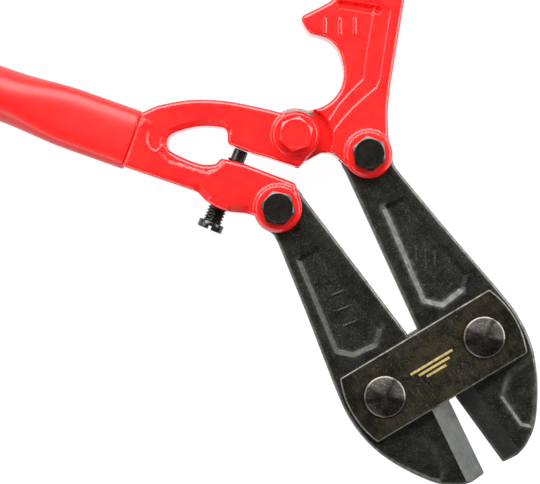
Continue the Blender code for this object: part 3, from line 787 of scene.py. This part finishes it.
def right_fitting():
    """Forged hook with a half-round notch, a tongue at the centre pivot and a fork at the jaw pivot."""
    outline = resampled(right_fitting_outline(), 0.8, 3)
    lines = boss_lines(JAW_PIVOT) + [(circle((0, 0), SHOULDER_RADIUS, 150), True, SHOULDER_DEPTHS),
                                     (circle(SWING_AT, SWING_RADIUS, 160), True, SHOULDER_DEPTHS)]
    for step in (OUTER_STEP, INNER_STEP):
        lines.append((stretched(step), False, (-0.15, 0, 0.2, 0.45, 0.7, 0.9)))
    lines += ridge_lines(RIGHT_STROKES, 2.6) + ridge_lines([TUCK], 1.8)
    lines.append((TUBE_GROOVE, True, (0, 0.3, 0.6, 0.9, 1.2, 1.6, 2.2)))
    face = right_face(outline)
    mesh = plate(outline, [circle((0, 0), HOLE_RADIUS)], face, face, lines, 1.6, RIM_DEPTHS)
    mesh = shaped(mesh, [shank(1)], "UNION")
    mesh = shaped(mesh, [disc(JAW_PIVOT, EYE_LUG_RADIUS + 1, FORK_HALF), disc(JAW_PIVOT, HOLE_RADIUS, CLEAR)])
    co = flat_points(mesh)
    tongue = (reach(co, (0, 0)) < SHOULDER_RADIUS - 0.05) & (abs(co[:, 2]) < JAW_HALF + 0.1)
    upward = co[:, 0] * VIEW_UP.x + co[:, 1] * VIEW_UP.y
    paint(mesh, "bare_and_sheen", tongue & (upward > BARE_ABOVE))
    return mesh


# Relief of the left fitting: a hooked bead, a short bead, a pad by the tube, and the window's sunk border
BEAD = [
    (-76.4, 47.7), (-79.2, 45), (-80.8, 41.7), (-80.9, 38.5), (-79.8, 36), (-78.5, 35), (-77, 35)]
SHORT_BEAD = [(-72.1, 39.8), (-74.1, 37.7), (-75.3, 35.9)]
PAD = [(-74.6, 56.9), (-80.5, 53.2), (-72.4, 48.7), (-71.4, 51.2)]
BORDER = [
    (-77.2, 34.1), (-76.9, 31.4), (-75.5, 25.8), (-74.5, 24.5), (-67.5, 17), (-59, 7.4), (-51.8, 6.1),
    (-45.9, 7.6), (-42, 12), (-60, 25), (-70.5, 33.5)]
SLOPE_WIDTH = 4.5
UPPER_RIM = smooth(WINDOW)[20:42]
UPPER_RIM_WIDTH = 3.4


def beyond_screw(points):
    """How far to the side of the adjusting screw's axis each point is."""
    turn = radians(SCREW_ANGLE)
    dx, dy = points[:, 0] - SCREW_HEAD_AT[0], points[:, 1] - SCREW_HEAD_AT[1]
    return np.abs(dy * cos(turn) - dx * sin(turn))


def left_face(outline):
    """Slopes beside the window and the screw boss, beads, pad and bolt bosses."""
    def height(points):
        level = FITTING_HALF + rounded(depth_in(points, outline), RIM)
        from_rim = depth_in(points, UPPER_RIM, False)
        level = np.minimum(level, FITTING_HALF - 1.1 * np.clip(UPPER_RIM_WIDTH - from_rim, 0, 9))
        from_side = depth_in(points, SCREW_SIDE, False)
        slope = 0.6 * np.clip(SLOPE_WIDTH - from_side, 0, 9) * eased(beyond_screw(points), 6.0, 7.2)
        level = np.minimum(level, FITTING_HALF - slope)
        border = depth_in(points, BORDER)
        level = level - 0.5 * eased(border, 0, 0.6) - 0.05 * np.clip(border, 0, 7)
        level = level + ridge(points, BEAD, 1.8, 0.55) + ridge(points, SHORT_BEAD, 1.6, 0.45)
        level += 0.5 * np.clip(depth_in(points, PAD) / 1.2, 0, 1)
        return level + boss_height(points, (0, 0)) + boss_height(points, LEFT_PIVOT)
    return height


def left_fitting():
    """Forged fork round the centre tongue and the left jaw's eye, bored for the adjusting screw."""
    outline = resampled(left_fitting_outline(), 0.8, 3)
    lines = boss_lines((0, 0)) + boss_lines(LEFT_PIVOT)
    lines += ridge_lines([BEAD], 1.8) + ridge_lines([SHORT_BEAD], 1.6)
    lines += [(BORDER, True, (0, 0.2, 0.4, 0.6)), (PAD, True, (0, 1.2))]
    lines += [(stretched(UPPER_RIM), False, (2.2, 3.0, 3.4)), (stretched(SCREW_SIDE), False, (4.1, 4.5))]
    face = left_face(outline)
    mesh = plate(outline, [], face, face, lines, 1.6, RIM_DEPTHS)
    mesh = shaped(mesh, [shank(-1)], "UNION")
    corner = prism(((-10, -25), (25, -25), (25, 0), (-10, 0)), -FORK_HALF, FORK_HALF)
    bore = prism(circle((0, 0), SCREW_RADIUS + GAP), 0, SCREW_LENGTH - 4)
    bore.transform(screw_place())
    mesh = shaped(mesh, [disc((0, 0), TONGUE_RADIUS + 1, FORK_HALF), corner,
                         disc(LEFT_PIVOT, EYE_LUG_RADIUS + OPEN_PIVOT_PLAY + 0.7, FORK_HALF),
                         disc(LEFT_PIVOT, HOLE_RADIUS, CLEAR), disc((0, 0), HOLE_RADIUS, CLEAR), bore])
    co = flat_points(mesh)
    # Painted highlight: the slopes each side of the adjusting screw get a faint grey sheen
    sloped = depth_in(co[:, :2], SCREW_SIDE, False) < SLOPE_WIDTH - 0.2
    beside_screw = beyond_screw(co[:, :2])
    sheen_patch = eased(beside_screw, 6.5, 7.5) * eased(beside_screw, 16, 12)
    paint(mesh, "bare_and_sheen", 0.2 * sloped * sheen_patch * (abs(co[:, 2]) > 11))
    return mesh


# ---- jaws and straps

def strokes(start, end, step):
    """Three short parallel lines, each a step from the last."""
    return [[(x + i * step[0], y + i * step[1]) for x, y in (start, end)] for i in range(3)]


# Plain raised strokes stand in for the marks on the jaws' sunk panels.
JAW_STROKES = {1: strokes((24, -104), (28, -97.3), (4.2, -4.3)),
               -1: strokes((-31, -96.5), (-24.5, -97.5), (-1.5, -10))}
STROKE_WIDTH = 2.0
# Each sunk panel, with the width of its sloping wall, its depth, and the painted highlight on its lit walls,
# per jaw
RECESSES = [(ARM_RECESS, 3.0, 1.6, {1: 0.4, -1: 0.15}), (NOSE_RECESS, 1.9, 1.0, {1: 0.3, -1: 0.05})]
# The walls of the arm's panel that face the light, which get a painted highlight
LIT_WALLS = {1: [(22.6, -64.8), (14.1, -128.8), (23.6, -137.8), (39.6, -135.8)],
              -1: [(-39.1, -65.8), (-48.1, -127.8), (-39.6, -135.8), (-23.6, -137.8), (-14.1, -128.8)]}
# Depths in from a jaw's edge, and how far its face has dropped there
JAW_RIM = ((0, 0.25, 0.7, 1.5, 2.1), (-1.6, -1.05, -0.55, -0.12, 0))
EDGE_SLOPE = radians(EDGE_ANGLE)
EDGE_FOOT = arc(STRAP_PIVOT, HEEL_RADIUS, 180 + EDGE_ANGLE, 181, 1)[0]
GROUND_EDGE = 0.4
# How much ground steel colour each jaw's bevel gets: partly the real ground steel, partly a painted highlight
# on the left bevel, which faces the light
LIT_BEVEL_SHARE = {1: 0.3, -1: 1.0}


def edge_places(points, side):
    """Distance along the cutting edge from its foot, and across it into the jaw."""
    dx, dy = side * points[:, 0] - EDGE_FOOT[0], points[:, 1] - EDGE_FOOT[1]
    sine, cosine = sin(EDGE_SLOPE), cos(EDGE_SLOPE)
    return dx * sine - dy * cosine, dx * cosine + dy * sine


def jaw_face(outline, side):
    """Worn rim, sunk panels, strokes, and the bevel down to the cutting edge."""
    def height(points):
        level = JAW_HALF + np.interp(depth_in(points, outline), *JAW_RIM)
        for recess, wall, depth, _ in RECESSES:
            level -= depth * np.clip(depth_in(points * (side, 1), recess) / wall, 0, 1)
        for stroke in JAW_STROKES[side]:
            level += ridge(points, stroke, STROKE_WIDTH, 0.5)
        along, across = edge_places(points, side)
        rise = (JAW_HALF - EDGE_FLAT) / BEVEL_WIDTH
        ground = EDGE_FLAT + np.clip(across, 0, 99) * rise + np.clip(13 - along, 0, 99) * 0.9
        return np.clip(np.minimum(level, ground), EDGE_FLAT, JAW_HALF)
    return height


def jaw_lines(side):
    """The places where a jaw's relief bends: panel walls, the top of the bevel, and strokes."""
    lines = []
    for recess, wall, _, _ in RECESSES:
        for depth in (0, wall):
            corners = [tuple(p) for p in set_in(recess if side > 0 else mirrored(recess), depth)]
            lines.append((stretched(corners + corners[:1]), False, (0,)))
    sine, cosine = sin(EDGE_SLOPE), cos(EDGE_SLOPE)
    top = [(side * (EDGE_FOOT[0] + s * sine + BEVEL_WIDTH * cosine),
            EDGE_FOOT[1] - s * cosine + BEVEL_WIDTH * sine) for s in np.arange(5, 80, 0.6)]
    lines.append((top, False, (0, -GROUND_EDGE, GROUND_EDGE)))
    return lines + ridge_lines(JAW_STROKES[side], STROKE_WIDTH)


def paint_jaw(mesh, outline, side):
    """Store where a jaw is worn, where its lit panel walls get a painted highlight, where it is sunk, and
    where ground.
    """
    flat = flat_points(mesh)[:, :2]
    wear_and_highlight = np.interp(depth_in(flat, outline), (0, 0.3, 1.6, 2.2), (0.9, 0.8, 0.35, 0.0))
    from_lit_walls = depth_in(flat, LIT_WALLS[side], False)
    for recess, wall, _, shine in RECESSES:
        into = depth_in(flat * (side, 1), recess)
        on_wall = (into > -0.05) & (into < wall + 0.05)
        if recess is ARM_RECESS:
            paint(mesh, "sunk", into > wall - 0.1)
            on_wall &= from_lit_walls < wall + 0.05
        # Painted highlight: the panel walls that face the light are painted bright, more on the right jaw
        # than the left
        wear_and_highlight = np.maximum(wear_and_highlight, on_wall * shine[side])
    paint(mesh, "wear_and_highlight", wear_and_highlight)
    along, across = edge_places(flat, side)
    ground = np.clip((BEVEL_WIDTH - across) / GROUND_EDGE, 0, 1) * eased(along, 9, 13)
    # Painted highlight: the left jaw's bevel gets the full ground colour, the right one's less
    paint(mesh, "ground", ground * LIT_BEVEL_SHARE[side])


def jaw(side):
    """One jaw, both faces alike; the left one's eye is a slot, where the linkage is open."""
    shape, eye = jaw_outline(), circle(JAW_PIVOT, HOLE_RADIUS)
    if side < 0:
        x, y = JAW_PIVOT
        eye = (arc((x + OPEN_PIVOT_PLAY, y), HOLE_RADIUS + GAP, -90, 90)
               + arc((x - OPEN_PIVOT_PLAY, y), HOLE_RADIUS + GAP, 90, 270))
        shape, eye = mirrored(shape), mirrored(eye)
    outline = resampled(shape, 0.8, 2)
    holes = [eye, circle(STRAP_PIVOTS[side], STRAP_HOLE_RADIUS)]
    face = jaw_face(outline, side)
    mesh = plate(outline, holes, face, face, jaw_lines(side), 2.0, JAW_RIM[0][1:])
    paint_jaw(mesh, outline, side)
    return mesh


# The straps' ends darken with oil between these distances from the middle.
OILY_FROM, OILY_TO = 30, 52
STRAP_RIM = 0.9


def strap(low):
    """A flat strip with rounded, worn edges, its lower face at low."""
    outline = resampled(strap_outline(), 0.8, 2)

    def drop(points):
        return rounded(depth_in(points, outline), STRAP_RIM)

    holes = [circle(at, STRAP_HOLE_RADIUS) for at in STRAP_PIVOTS.values()]
    mesh = plate(outline, holes, lambda points: low + STRAP_THICK + drop(points),
                 lambda points: drop(points) - low, [], 3.0, (0.05, 0.2, 0.45, 0.9, 1.05))
    co = flat_points(mesh)
    depth = depth_in(co[:, :2], outline)
    paint(mesh, "wear_and_highlight", np.interp(depth, (0, 0.2, 0.9, 1.05), (0.1, 0.8, 0.9, 0.0)))
    paint(mesh, "oily", np.interp(abs(co[:, 0]), (OILY_FROM, OILY_TO), (0, 0.9)))
    return mesh


def bars(places, low, height):
    """A group of plain flat bars, each (centre, length, width), with softened edges."""
    bm = bmesh.new()
    for (x, y), length, width in places:
        made = bmesh.ops.create_cube(bm, size=1)
        for v in made["verts"]:
            v.co = Vector((x + v.co.x * length, y + v.co.y * width, low + (v.co.z + 0.5) * height))
    bmesh.ops.bevel(bm, geom=bm.edges[:], offset=0.06, segments=2, affect="EDGES")
    mesh = bpy.data.meshes.new("bars")
    bm.to_mesh(mesh)
    bm.free()
    return mesh


# ---- fasteners

def turned(*profile, steps=ROUND_STEPS):
    """Rings about the axis, from (radius, height) pairs."""
    return [[(x, y, z) for x, y in circle((0, 0), radius, steps)] for radius, z in profile]


def hexagon(flats, z, chamfer_radius=None, upward=1):
    """A hexagon as a ring of points, corners at 0, 60, 120; past the chamfer radius they slope away."""
    ring = []
    for i in range(ROUND_STEPS):
        angle = 2 * pi * i / ROUND_STEPS
        side = angle % (pi / 3) - pi / 6
        radius = flats / 2 / cos(side)
        drop = max(0.0, radius - chamfer_radius) * tan(radians(30)) if chamfer_radius else 0.0
        ring.append((radius * cos(angle), radius * sin(angle), z - upward * drop))
    return ring


def thread_rings(radius, low, high, pitch=THREAD_PITCH):
    """A right-hand thread as rings whose radius follows the turning ridge, fading at both ends."""
    depth, rings = 0.58 * pitch, []
    count = round((high - low) / pitch * RINGS_PER_TURN)
    for k in range(count + 1):
        z = low + (high - low) * k / count
        fade = min(1.0, (z - low) / pitch + 0.2, (high - z) / pitch + 0.2)
        ring = []
        for i in range(ROUND_STEPS):
            turn = i / ROUND_STEPS
            crest = min(1.0, max(0.0, 1.35 - 2.7 * abs((z / pitch - turn) % 1.0 - 0.5)))
            r = radius - depth * fade * (1 - crest)
            ring.append((r * cos(2 * pi * turn), r * sin(2 * pi * turn), z))
        rings.append(ring)
    return rings


def placed(mesh, at, turn=0):
    mesh.transform(Matrix.Translation((*at, 0)) @ Matrix.Rotation(radians(turn), 4, "Z"))
    return mesh


def hex_bolt(at, turn):
    """A hexagon bolt with a washer face, chamfered corners, and a threaded end."""
    seat = BOSS_TOP + GAP
    top = seat + HEAD_HEIGHT
    rings = turned((0.4, -BOLT_END), (BOLT_RADIUS - 1.2, -BOLT_END))
    rings += thread_rings(BOLT_RADIUS - 0.05, -BOLT_END + 0.8, -16)
    rings += turned((BOLT_RADIUS, -14), (BOLT_RADIUS, seat), (9.2, seat), (9.2, seat + 0.5))
    rings += [hexagon(HEX_FLATS - 0.4, seat + 0.5), hexagon(HEX_FLATS, seat + 0.75),
              hexagon(HEX_FLATS, top - 0.05, 9.25), hexagon(HEX_FLATS - 0.35, top, 9.1)]
    rings += turned((9.0, top), (8.4, top - 0.12), (6.5, top - 0.2), (0.4, top - 0.2))
    return placed(loft(rings), at, turn)


def washer(at, top, bore):
    """A flat washer with eased edges."""
    low, edge, outer = top - WASHER_THICK, 0.35, WASHER_RADIUS
    profile = [(bore, low + edge), (bore + edge, low), (outer - edge, low), (outer - 0.1, low + 0.1),
               (outer, low + edge), (outer, top - edge), (outer - 0.1, top - 0.1), (outer - edge, top),
               (bore + edge, top), (bore, top - edge)]
    return placed(loft(turned(*profile, steps=72), joined=True), at)


def nut(at, turn, high, bore):
    """A plain hexagon nut, chamfered both ways."""
    low = high - NUT_HEIGHT
    rings = turned((bore, low + 0.8), (bore + 0.8, low), (9.2, low))
    rings += [hexagon(HEX_FLATS, low + 0.02, 9.3, upward=-1), hexagon(HEX_FLATS, high - 0.02, 9.3)]
    rings += turned((9.2, high), (bore + 0.8, high), (bore, high - 0.8))
    return placed(loft(rings, joined=True), at, turn)


def strap_bolt(at):
    """A round-head bolt: a low dome over a thin bright rim."""
    seat = FORK_HALF + STRAP_THICK + GAP
    lowest = -seat - WASHER_THICK - GAP - NUT_HEIGHT - 1
    rim, crown = seat + 1.2, DOME_HEIGHT - 1.2
    edge = DOME_RADIUS - 0.35
    rings = turned((0.4, lowest), (STRAP_BOLT_RADIUS - 1.2, lowest))
    rings += thread_rings(STRAP_BOLT_RADIUS - 0.05, lowest + 0.8, -14)
    rings += turned((STRAP_BOLT_RADIUS, -12.5), (STRAP_BOLT_RADIUS, seat), (DOME_RADIUS - 0.4, seat),
                    (DOME_RADIUS - 0.1, seat + 0.12), (DOME_RADIUS, seat + 0.4), (DOME_RADIUS, seat + 0.9),
                    (DOME_RADIUS - 0.1, seat + 1.1), (edge, rim))
    for i in range(1, 17):
        share = 1 - i / 16.5
        rings += turned((edge * share, rim + crown * (1 - share ** 2)))
    mesh = placed(loft(rings), at)
    co = flat_points(mesh)
    on_rim = (co[:, 2] > seat + 0.8) & (co[:, 2] < seat + 1.3)
    paint(mesh, "wear_and_highlight", on_rim & (reach(co, at) > DOME_RADIUS - 0.4))
    return mesh


def screw_place():
    """The adjusting screw's axis: from its head towards its tip."""
    return (Matrix.Translation((*SCREW_HEAD_AT, 0)) @ Matrix.Rotation(radians(SCREW_ANGLE), 4, "Z")
            @ Matrix.Rotation(pi / 2, 4, "Y"))


def adjusting_screw():
    """A slotted cheese-head screw, threaded up to its plain dog point."""
    start = SCREW_LENGTH - 7.0
    rings = turned((0.4, 0), (6.9, 0), (7.6, 0.15), (7.9, 0.45), (8, 0.8), (8, 4.4), (7.85, 4.8), (7.5, 5),
                   (SCREW_RADIUS - 0.9, 5))
    rings += thread_rings(SCREW_RADIUS, 5.3, start, SCREW_PITCH)
    rings += turned((4.5, start + 0.2), (4.5, SCREW_LENGTH - 0.7), (3.8, SCREW_LENGTH), (0.4, SCREW_LENGTH))
    mesh = shaped(loft(rings), [prism(((-10, -1), (10, -1), (10, 1), (-10, 1)), -1, 2.4)])
    mesh.transform(screw_place())
    return mesh


# ---- the tool

def build_handles():
    for label, side in SIDES:
        body = label + "_handle"
        finished(label + "_tube", handle_tube(side), body, label + "_handle_tube", TUBE_PAINT)
        finished(label + "_rubber_grip", grip(side), body, label + "_grip", RUBBER)
    for label, mesh in (("right", right_fitting()), ("left", left_fitting())):
        body = label + "_handle"
        finished(label + "_fitting", mesh, body, body + "_fitting", FITTING_PAINT, 40)


def build_jaws():
    for label, side in SIDES:
        name = label + "_jaw"
        finished(name + "_blade", jaw(side), name, name, JAW_STEEL, 16)
    for label, low in (("front", FORK_HALF), ("rear", -FORK_HALF - STRAP_THICK)):
        finished(label + "_strap_plate", strap(low), "straps", label + "_strap", STRAP_STEEL, 40)
    x, y = STRAP_CENTRE
    mark = bars([((x, y + 2.6), 30, 1.6), ((x, y - 0.4), 22, 1.6), ((x, y - 3.4), 14, 1.6)],
                FORK_HALF + STRAP_THICK, 0.12)
    finished("front_strap_mark", mark, "straps", None, GOLD)


def washer_and_nut(name, at, turn, top, bore, body, surface):
    """The washer and nut under a bolt, the washer's upper face at top."""
    finished(name + "_flat_washer", washer(at, top, bore), body, name + "_washer", surface)
    high = top - WASHER_THICK - GAP
    finished(name + "_hex_nut", nut(at, turn, high, bore), body, name + "_nut", surface, 25)


def build_fasteners():
    for name, at, turn, body, surface in (
            ("centre_pivot", (0, 0), -13, "right_handle", FITTING_PAINT),
            ("right_jaw", JAW_PIVOT, 7, "right_handle", BOLT_STEEL),
            ("left_jaw", LEFT_PIVOT, 16.5, "left_handle", BOLT_STEEL)):
        finished(name + "_hex_bolt", hex_bolt(at, turn), body, name + "_bolt", surface, 25)
        washer_and_nut(name, at, turn + 20, -BOSS_TOP - GAP, HOLE_RADIUS, body, surface)
    for label, side in SIDES:
        name, at, under = label + "_strap", STRAP_PIVOTS[side], -FORK_HALF - STRAP_THICK - GAP
        finished(name + "_round_bolt", strap_bolt(at), "straps", name + "_bolt", DOME_STEEL, 30)
        washer_and_nut(name, at, 10, under, STRAP_HOLE_RADIUS, "straps", BOLT_STEEL)
    screw = "adjusting_screw"
    finished("slotted_" + screw, adjusting_screw(), screw, screw, BOLT_STEEL, 30)


# ---- studio, in metres

CAMERA_HEIGHT = 1.2
VIEW_WIDTH = 0.3348
AIM = CENTRE + Vector((-0.0472, -0.0483, 0))
FLOOR_HALF = 6.0
FLOOR_DROP = 0.0005


def camera():
    """Straight down on the jaws and fittings, turned so that the handles run up and to the left."""
    data = bpy.data.cameras.new("camera")
    data.sensor_width = 36
    data.lens = data.sensor_width * CAMERA_HEIGHT / VIEW_WIDTH
    made = linked("camera", data)
    made.location = AIM + Vector((0, 0, CAMERA_HEIGHT))
    made.rotation_euler = Matrix((VIEW_RIGHT, VIEW_UP, (0, 0, 1))).transposed().to_euler()
    bpy.context.scene.camera = made


def softbox(name, right, up, height, size, power):
    """A rectangular lamp facing the middle of the view, placed in the camera's own directions."""
    data = bpy.data.lights.new(name, "AREA")
    data.shape = "RECTANGLE"
    data.size, data.size_y = size
    data.energy = power
    made = linked(name, data)
    made.location = AIM + VIEW_RIGHT * right + VIEW_UP * up + Vector((0, 0, height))
    made.rotation_euler = (AIM - made.location).to_track_quat("-Z", "Y").to_euler()


def studio():
    """Even light, with softboxes above, to both sides and low in front, over a white floor."""
    world = bpy.data.worlds.new("studio")
    world.use_nodes = True
    background = world.node_tree.nodes["Background"].inputs
    background["Color"].default_value = (1, 1, 1, 1)
    background["Strength"].default_value = 0.10
    bpy.context.scene.world = world
    softbox("top_softbox", -0.2, 1.1, 1.0, (2.2, 1), 52)
    softbox("left_softbox", -1.4, 0.3, 0.7, (1.4, 0.9), 9)
    softbox("right_softbox", 1.4, 0.4, 0.7, (1.4, 0.9), 26)
    softbox("low_softbox", -0.8, -1.4, 0.33, (1.8, 0.4), 12)
    pale = Finish("pale_floor", {"Roughness": 0.9, "Base Color": (0.2, 0.2, 0.2, 1),
                                 "Emission Color": (1, 1, 1, 1), "Emission Strength": 0.96})
    mesh = bpy.data.meshes.new("floor")
    corners = [(x * FLOOR_HALF, y * FLOOR_HALF, -FLOOR_DROP) for x, y in ((-1, -1), (1, -1), (1, 1), (-1, 1))]
    mesh.from_pydata(corners, [], [(0, 1, 2, 3)])
    mesh.materials.append(pale.material)
    floor = linked("floor", mesh)
    floor.visible_diffuse = False


camera()
studio()
build_handles()
build_jaws()
build_fasteners()
bpy.context.scene.view_settings.view_transform = "Standard"
